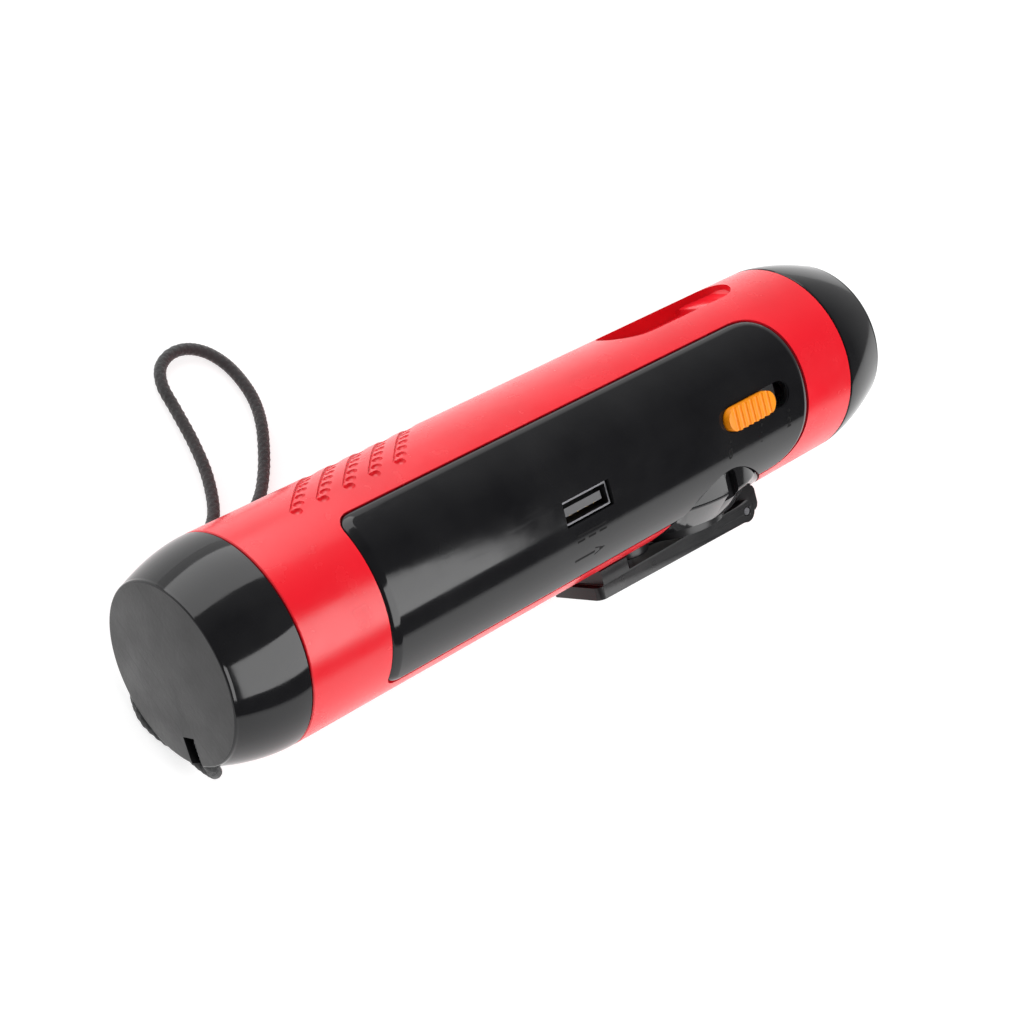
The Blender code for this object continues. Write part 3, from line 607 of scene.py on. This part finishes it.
plan += [(x, -y) for x, y in reversed(plan[1:7])]
boolean(scoop, prism("scoop_plan", plan, 10, 32), "INTERSECT")
boolean(shell, scoop)
settle(shell, RED, "torch", "shell", rules=[barrel])

# --- tail cap ----------------------------------------------------------------------------------
profile = [(0, 22.0), (R_SPIGOT, 22.0), (R_SPIGOT, TAIL_SEAM - SEAM), (R_BODY - 0.2, TAIL_SEAM - SEAM)]
profile += [(cap_radius(x), x) for x in [TAIL_SEAM - SEAM - 0.2 - 14.6 * k / 24 for k in range(25)]]
profile += [(cap_radius(0.5), 0.5), (R_TAIL - 0.06, 0.27), (R_TAIL - 0.2, 0.09), (R_TAIL - 0.45, 0.0), (0, 0)]
cap = turned("tail_cap_skin", profile)
hollow = [(0, 30.0), (18.0, 30.0), (18.0, 9.4), (12.4, 7.2), (12.4, 2.6), (0, 2.6)]
boolean(cap, turned("cap_hollow", hollow))
boolean(cap, box("notch", (-2, 6.3), NOTCH_Y, (-26, NOTCH_TOP)))
boolean(cap, rod("bar_hole", BAR_X, -16.6, 1.1, -3.2, 5.6, "Y", 24))
settle(cap, BLACK, "torch", "tail_cap", rules=[wall(cap_radius, 0.5, TAIL_SEAM - SEAM)])
cap.data.materials.append(TAIL)
for face in cap.data.polygons:
    if face.normal.x < -0.97 and face.center.x < -LENGTH / 2 * MM + 0.00005:
        face.material_index = 1

# --- head cap ----------------------------------------------------------------------------------
profile = [
    (16.4, LENGTH), (17.4, LENGTH), (18.1, LENGTH - 0.1), (18.6, LENGTH - 0.36), (18.92, LENGTH - 0.75)
]
profile += [(nose_radius(x), x) for x in [NOSE_X - (NOSE_X - 181.7) * k / 24 for k in range(25)]]
profile += [(R_BODY - 0.2, HEAD_SEAM + SEAM), (R_SPIGOT, HEAD_SEAM + SEAM), (R_SPIGOT, 175.0), (17.7, 175.0)]
profile += [(17.7, 195.9), (16.4, 195.9)]
head = turned("head_bezel_skin", profile, closed=True)
settle(head, BLACK, "torch", "head_bezel", rules=[wall(nose_radius, HEAD_SEAM + SEAM, NOSE_X)])
depths = [17.3 * (k / 24) ** 1.6 + 0.95 * (1 - k / 24) for k in range(24, -1, -1)]
bowl = [(math.sqrt(15.8 * d), 174.2 + d) for d in depths]
back = [(r + 0.75, h) for r, h in reversed(bowl[2:])]
bowl_rim = [(17.05, 190.6), (17.4, 190.6), (17.4, 191.5)]
dish = turned("reflector_skin", [*bowl, *back, *bowl_rim], steps=96, closed=True)
settle(dish, MIRROR, "torch", "reflector")

# --- side panel --------------------------------------------------------------------------------
levels = [
    (0, -1.4), (0, -0.42), (0.07, -0.26), (0.25, -0.12), (0.7, 0.1), (1.3, 0.33), (1.75, 0.47),
    (2.1, 0.53), (2.6, PANEL_TOP),
]
panel = bent("side_panel_skin", levels)
slot_z = (SLOT_Z - SLOT_WIDE / 2, SLOT_Z + SLOT_WIDE / 2)
boolean(panel, prism("slot", rounded(SLOT_X, slot_z, SLOT_WIDE / 2 - 0.01, 16), -27, -15, "Y"))
rim_x = (SLOT_X[0] - 0.3, SLOT_X[1] + 0.3)
rim_z = (slot_z[0] - 0.3, slot_z[1] + 0.3)
boolean(panel, prism("slot_rim", rounded(rim_x, rim_z, SLOT_WIDE / 2 + 0.28, 16), -27, -23.3, "Y"))
boolean(panel, prism("usb_mouth", rounded(USB_X, USB_Z, 0.3, 4), -27, -15, "Y"))
boolean(panel, rod("seat_notch", HUB_X, 0, SEAT_R + GAP, -40, SEAT_TOP + GAP, "Z", 128))
top = R_BODY + PANEL_TOP
settle(panel, PANEL, "torch", "side_panel", rules=[wall(lambda x: top, *PANEL_X)], sharp=30)

# --- switch ------------------------------------------------------------------------------------
knob_x = (SLOT_X[0] + 0.25, SLOT_X[0] + 0.25 + KNOB_LONG)
knob_z = (SLOT_Z - KNOB_WIDE / 2, SLOT_Z + KNOB_WIDE / 2)
middle = sum(knob_x) / 2
knob = prism("switch_knob_skin", rounded(knob_x, knob_z, KNOB_WIDE / 2 - 0.01, 14), -KNOB_TOP, -20.6, "Y")
for k in range(GROOVES):
    rib = knob_x[0] + GROOVE_FROM + GROOVE_STEP * k
    groove = [
        (rib + GROOVE_R * math.cos(a), -KNOB_TOP - 0.12 + GROOVE_R * math.sin(a))
        for a in (math.radians(30 * j) for j in range(12))
    ]
    boolean(knob, prism(f"groove_{k}", groove, -6, 6))
bevel(knob, 0.32, 3, 50)
settle(knob, ORANGE, "switch_body_moving", "switch_knob", sharp=40)
base = box("switch_plate", (middle - 12.5, middle + 12.5), (-20.95, -20.35), (SLOT_Z - 3.5, SLOT_Z + 3.5))
settle(bevel(base, 0.1, 2), SATIN, "switch_body_moving")

# --- crank seat --------------------------------------------------------------------------------
arc = [math.radians(d * 2) for d in range(-33, 34)]
saddle = [(R_BODY * math.sin(t), max(-R_BODY * math.cos(t), FLAT_Z)) for t in arc]
saddle += [((R_IN + 0.5) * math.sin(t), -(R_IN + 0.5) * math.cos(t)) for t in reversed(arc)]
seat = prism("crank_seat_skin", saddle, 115.0, 159.0, "X")
boolean(seat, rod("seat_disc", HUB_X, 0, SEAT_R - GAP, -60, SEAT_TOP - 0.1, "Z", 96), "INTERSECT")
skirt_line = [
    (0, SEAT_TOP), (SEAT_R, SEAT_TOP), (SEAT_R - 0.2, SEAT_RIM + 0.9), (SEAT_R - 0.32, SEAT_RIM + 0.45),
    (SEAT_R - 0.6, SEAT_RIM + 0.12), (SEAT_R - 1.0, SEAT_RIM - 0.1), (SEAT_FLAT + 0.3, SEAT_LOW + 0.12),
    (SEAT_FLAT, SEAT_LOW), (0, SEAT_LOW),
]
skirt = turned("skirt", skirt_line, "Z", (HUB_X, 0), 96)
boolean(skirt, rod("seat_inside", 0, 0, R_IN, 100, 180, "X", 120))
boolean(seat, skirt, "UNION")
down = Vector((math.sin(ROLL), -math.cos(ROLL)))
along = Vector((down.y, -down.x)) * 40
foot = [tuple(down * deep + along * way) for deep, way in ((22.7, 1), (22.7, -1), (60, -1), (60, 1))]
boolean(seat, prism("seat_foot", foot, 100, 180, "X"))
boolean(seat, rod("gear_well", HUB_X, 0, 14.2, -18.4, 5))
boolean(seat, rod("shaft_bore", HUB_X, 0, 3.2, -30, 0))
side_slot = rounded((HUB_X - 1.7, HUB_X + 1.7), (-24.0, -10.6), (0, 0, 1.69, 1.69), 10)
boolean(seat, prism("side_slot", side_slot, -26, -18.4, "Y"))
settle(seat, BLACK, "torch", "crank_seat")

# --- hub, arm and finger disc ------------------------------------------------------------------
hub = rod("crank_hub_skin", HUB_X, 0, HUB_R, HUB_Z[0], HUB_Z[1], "Z", 96)
lug = [
    (140.0, HUB_Z[1] - 0.02), (156.6, HUB_Z[1] - 0.02), (157.8, -22.9), (158.2, -23.8), (158.2, -27.2),
    (157.8, -28.1), (157.0, -28.6), (152.6, -28.8), (149.6, -28.0), (147.6, -25.6),
    (146.0, HUB_Z[0] + 0.02), (140.0, HUB_Z[0] + 0.02),
]
boolean(hub, prism("lug", lug, -LUG_HALF, LUG_HALF, "Y"), "UNION")
boolean(hub, rod("lug_bore", PIN_X, PIN_Z, PIN_R + AIR, -20, 20, "Y", 32))
boolean(hub, rod("hub_bore", HUB_X, 0, 3.2, -23.6, -15))
settle(bevel(hub, 0.22), CRANK, "crank_hub_body", "crank_hub")

low, high = ARM_Z
side = [(ARM_TAIL, low), (PIN_X - 1.6, PIN_Z - EAR_R + 0.35)]
side += [
    (PIN_X + EAR_R * math.cos(a), PIN_Z + EAR_R * math.sin(a))
    for a in (math.radians(d) for d in range(-105, 106, 10))
]
side += [(PIN_X - 3.4, high), (BLOCK_X[1], high), (BLOCK_X[1], BLOCK_TOP), (BLOCK_X[0], BLOCK_TOP)]
side += [(BLOCK_X[0], high - 0.2), (ARM_TAIL, high - 0.4)]
arm = prism("crank_arm_skin", side, -ARM_HALF, ARM_HALF, "Y")
arm_plan = rounded((ARM_TAIL - 0.1, 160.0), (-ARM_HALF - 0.1, ARM_HALF + 0.1), (2.2, 0, 0, 2.2))
boolean(arm, prism("arm_plan", arm_plan, -34, high - 0.5), "INTERSECT")
upper = prism("arm_top", side, -ARM_HALF, ARM_HALF, "Y")
boolean(upper, box("arm_top_part", (ARM_TAIL + 1.6, 170.0), (-20, 20), (high - 0.9, 0)), "INTERSECT")
boolean(arm, upper, "UNION")
boolean(arm, box("lug_gap", (144.2, 170.0), (-LUG_HALF - GAP, LUG_HALF + GAP), (-40, 0)))
boolean(arm, rod("arm_pin_bore", PIN_X, PIN_Z, PIN_R + AIR, -20, 20, "Y", 32))
boolean(arm, rod("disc_pin_bore", DISC_X, 0, 1.5, -40, -20))
settle(bevel(arm, 0.25), CRANK, "crank_arm_body", "crank_arm")

disc_line = [
    (0, -23.4), (3.4, -23.4), (4.1, -23.0), (4.4, -22.5), (4.6, -22.28), (4.9, -22.2), (5.3, -22.25),
    (5.55, -22.45), (DISC_R, -22.8), (DISC_R, -24.2), (5.4, -24.45), (0, -24.45),
]
disc = turned("finger_disc_skin", disc_line, "Z", (DISC_X, 0), 64)
boolean(disc, rod("dish_bore", DISC_X, 0, 1.5, -30, -20, "Z", 32))
settle(disc, CRANK, "finger_disc_body", "crank_knob")

# --- lanyard -----------------------------------------------------------------------------------
LANYARD = [
    (-96.65, -8.58, 14.11), (-96.65, -10.58, 12.79), (-96.55, -12.39, 11.53), (-96.05, -13.92, 10.22),
    (-95.15, -14.53, 8.62), (-94.25, -14.15, 6.59), (-93.75, -12.83, 4.59), (-93.75, -10.67, 3.14),
    (-94.1, -6.9, 1.75), (-95.4, -4.0, 1.5), (-96.7, -0.6, 1.45), (-97.45, 3.05, 1.5), (-96.75, 6.8, 1.45),
    (-95.0, 10.2, 1.45), (-92.0, 13.2, 1.45), (-87.8, 15.7, 1.45), (-83.0, 18.3, 1.6), (-78.6, 21.2, 2.3),
    (-72.9, 25.39, 2.6), (-67.2, 29.0, 2.3), (-61.4, 32.2, 1.6), (-57.2, 36.2, 1.45), (-53.6, 43.8, 1.45),
    (-51.6, 52.0, 1.45), (-50.5, 60.6, 1.45), (-49.8, 66.6, 1.45), (-47.8, 70.6, 1.45), (-44.5, 72.7, 1.45),
    (-40.9, 73.1, 1.45), (-37.6, 72.0, 1.45), (-34.8, 69.4, 1.45), (-32.8, 65.2, 1.45), (-32.1, 60.0, 1.45),
    (-32.6, 54.8, 1.45), (-34.6, 49.4, 1.45), (-37.9, 43.9, 1.45), (-41.6, 38.9, 1.45), (-46.0, 34.4, 1.45),
    (-51.6, 31.0, 1.45), (-58.2, 28.4, 1.6), (-65.0, 25.9, 2.3), (-71.1, 22.61, 2.6), (-72.4, 21.77, 2.6),
]


def smooth(knots, step):
    """Points at even spacing, in millimetres, along a Catmull-Rom curve through the knots."""
    pts = [Vector(k) for k in knots]
    pts = [2 * pts[0] - pts[1], *pts, 2 * pts[-1] - pts[-2]]
    fine = []
    for a, b, c, d in zip(pts, pts[1:], pts[2:], pts[3:]):
        for k in range(40):
            t = k / 40
            square, cube = (2 * a - 5 * b + 4 * c - d) * t**2, (3 * b - a - 3 * c + d) * t**3
            fine.append(0.5 * (2 * b + (c - a) * t + square + cube))
    fine.append(pts[-2])
    lengths = [0.0]
    for a, b in zip(fine, fine[1:]):
        lengths.append(lengths[-1] + (b - a).length)
    count = int(lengths[-1] / step) + 1
    out, k = [], 0
    for n in range(count):
        want = lengths[-1] * n / (count - 1)
        while k < len(lengths) - 2 and lengths[k + 1] < want:
            k += 1
        share = (want - lengths[k]) / max(lengths[k + 1] - lengths[k], 1e-9)
        out.append(fine[k].lerp(fine[k + 1], share))
    return out, lengths[-1]


def braid(name, route, radius, step, sides=16, strands=4, pitch=7.0, relief=0.075):
    """A braided tube: two families of strands wind opposite ways and cross over each other."""
    form = bmesh.new()
    rings = []
    side = Vector((0, 0, 1))
    for n, p in enumerate(route):
        ahead = (route[min(n + 1, len(route) - 1)] - route[max(n - 1, 0)]).normalized()
        side = (side - ahead * side.dot(ahead)).normalized()
        other = ahead.cross(side)
        ring = []
        for k in range(sides):
            a = 2 * math.pi * k / sides
            w = 2 * math.pi * n * step / pitch
            one = math.cos(strands * (a - w))
            two = math.cos(strands * (a + w))
            r = radius * (1 - relief) + radius * relief * max(one, two)
            ring.append(form.verts.new((p + (side * math.cos(a) + other * math.sin(a)) * r) * MM))
        rings.append(ring)
    for low, high in zip(rings, rings[1:]):
        for k in range(sides):
            form.faces.new([low[k], low[(k + 1) % sides], high[(k + 1) % sides], high[k]])
    form.faces.new(rings[0])
    form.faces.new(rings[-1])
    return put(form, name)


STEP = 0.25
route, cord_long = smooth(LANYARD, STEP)
cord = braid("lanyard_braid", route, CORD_D / 2, STEP)
cord.data.shade_smooth()
cord.data.materials.append(CORD)
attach(cord, "torch")
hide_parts("lanyard")
bead_long, bead_wide, bead_tall = BEAD
bead_end = rounded((-bead_wide / 2, bead_wide / 2), (0, bead_tall), 2.2)
bead = prism("bead_skin", bead_end, -bead_long / 2, bead_long / 2, "X")
boolean(bead, prism("bead_slot", rounded((-3.4, 3.4), (0.85, 4.35), 1.7), -9, 9, "X"))
bevel(bead, 0.3)
bead.data.transform(Matrix.Rotation(math.atan2(BEAD_AHEAD[1], BEAD_AHEAD[0]), 4, "Z"))
bead.data.transform(Matrix.Translation(Vector(BEAD_SPOT) * MM))
mesh = bpy.data.meshes.new_from_object(bead.evaluated_get(bpy.context.evaluated_depsgraph_get()))
bead.modifiers.clear()
bead.data = mesh
mesh.shade_smooth()
mesh.set_sharp_from_angle(angle=math.radians(35))
mesh.materials.append(SATIN)
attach(bead, "torch")
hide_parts("lanyard_bead")
[tuple(p * MM) for p in smooth(LANYARD, 3.0)[0]]


# --- markings ----------------------------------------------------------------------------------
def on_panel(made, x, arc, lift):
    """Bends flat work onto the panel, centred on x and on an arc angle in degrees."""
    for v in made.data.vertices:
        a = math.radians(arc) + v.co.y / (top * MM)
        r = (top + lift) * MM
        v.co = Vector((x * MM + v.co.x, -r * math.cos(a), r * math.sin(a)))


def numeral(name, words, x, arc, tall, stretch=0.82):
    """A figure of about this height, laid on the panel. The font's size is 1.38 times that."""
    curve = bpy.data.curves.new(name, "FONT")
    curve.body = words
    curve.size = tall * MM * 1.38
    curve.align_x = "CENTER"
    curve.align_y = "CENTER"
    curve.space_character = 1.12
    curve.offset = 0.075 * MM
    made = bpy.data.objects.new(name, curve)
    scene.collection.objects.link(made)
    mesh = bpy.data.meshes.new_from_object(made.evaluated_get(bpy.context.evaluated_depsgraph_get()))
    bpy.data.objects.remove(made)
    made = bpy.data.objects.new(name, mesh)
    scene.collection.objects.link(made)
    mesh.transform(Matrix.Diagonal((stretch, 1, 1, 1)))
    on_panel(made, x, arc, MARK_LIFT)
    mesh.transform(LIE)
    mesh.materials.clear()
    mesh.materials.append(INK)
    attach(made, "torch")


for k, x in enumerate(SWITCH_MARKS):
    numeral(f"mark_position_{k}", str(k), x, -17.1, 2.6)


def flat_mark(name, outline, x, arc):
    """A flat shape, given in millimetres about its own middle, laid on the panel."""
    form = bmesh.new()
    form.faces.new([form.verts.new((a * MM, b * MM, 0)) for a, b in outline])
    bmesh.ops.triangulate(form, faces=form.faces)
    made = put(form, name)
    on_panel(made, x, arc, MARK_LIFT)
    made.data.transform(LIE)
    made.data.materials.append(INK)
    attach(made, "torch")


def bar(left, right, low, high):
    return [(left, low), (right, low), (right, high), (left, high)]


for k, x in enumerate(SWITCH_DOTS):
    dot = [(DOT_R * math.cos(a), DOT_R * math.sin(a)) for a in (math.radians(18 * j) for j in range(20))]
    flat_mark(f"mark_dot_{k}", dot, x, -9.9)
flat_mark("mark_current_line", bar(-4.4, 4.4, 0.45, 0.95), MARK_X, -17.8)
for k, middle in enumerate((-3.3, 0.0, 3.3)):
    flat_mark(f"mark_current_dash_{k}", bar(middle - 1.1, middle + 1.1, -0.95, -0.45), MARK_X, -17.8)
flat_mark("mark_arrow_tail", bar(-4.8, 1.2, -0.3, 0.3), MARK_X, -31.0)
flat_mark("mark_arrow_head", [(1.2, -1.1), (4.4, 0.0), (1.2, 1.1)], MARK_X, -31.0)

usb_mid = sum(USB_Z) / 2
for k in range(USB_CONTACTS):
    x = CONTACT_FROM + CONTACT_STEP * k
    span = (x - CONTACT_HALF, x + CONTACT_HALF)
    strip = box(f"usb_contact_{k}", span, (-21.4, -14.4), (usb_mid - 1.12, usb_mid - 1.01))
    settle(bevel(strip, 0.03, 2), BRASS, "torch")

# --- the frame's own pieces --------------------------------------------------------------------
LOOKS = {
    STEEL: (
        "lanyard_bar", "knob_pin", "hub_shaft", "lay_shaft", "motor_shaft", "motor_can", "battery_spring",
        "switch_body",
    ),
    BRASS: ("battery_contact", "spring_plate", "lay_pinion", "motor_pinion"),
    NYLON: ("crank_gear", "lay_gear"),
    GREEN: ("usb_board", "circuit_board"),
    ALU: ("heat_sink",),
    WHITE: ("led_board",),
    PHOSPHOR: ("led_emitter",),
    WRAP: ("battery",),
    RUBBER: ("lens_seal",),
    GLASS: ("lens",),
    SATIN: ("gear_plate",),
    GREY: ("usb_tongue",),
    # The USB shell and the hinge pin take the nickel darkened as painted shade.
    SHADED_NICKEL: ("usb_shell", "hinge_pin"),
}
for material, names in LOOKS.items():
    for name in names:
        mesh = frame["nodes"][name].data
        mesh.materials.clear()
        mesh.materials.append(material)

# What rides on nothing by now is a cutter or another helper.
for made in list(scene.objects):
    if made.type == "MESH" and not made.parent and made is not floor:
        bpy.data.objects.remove(made)
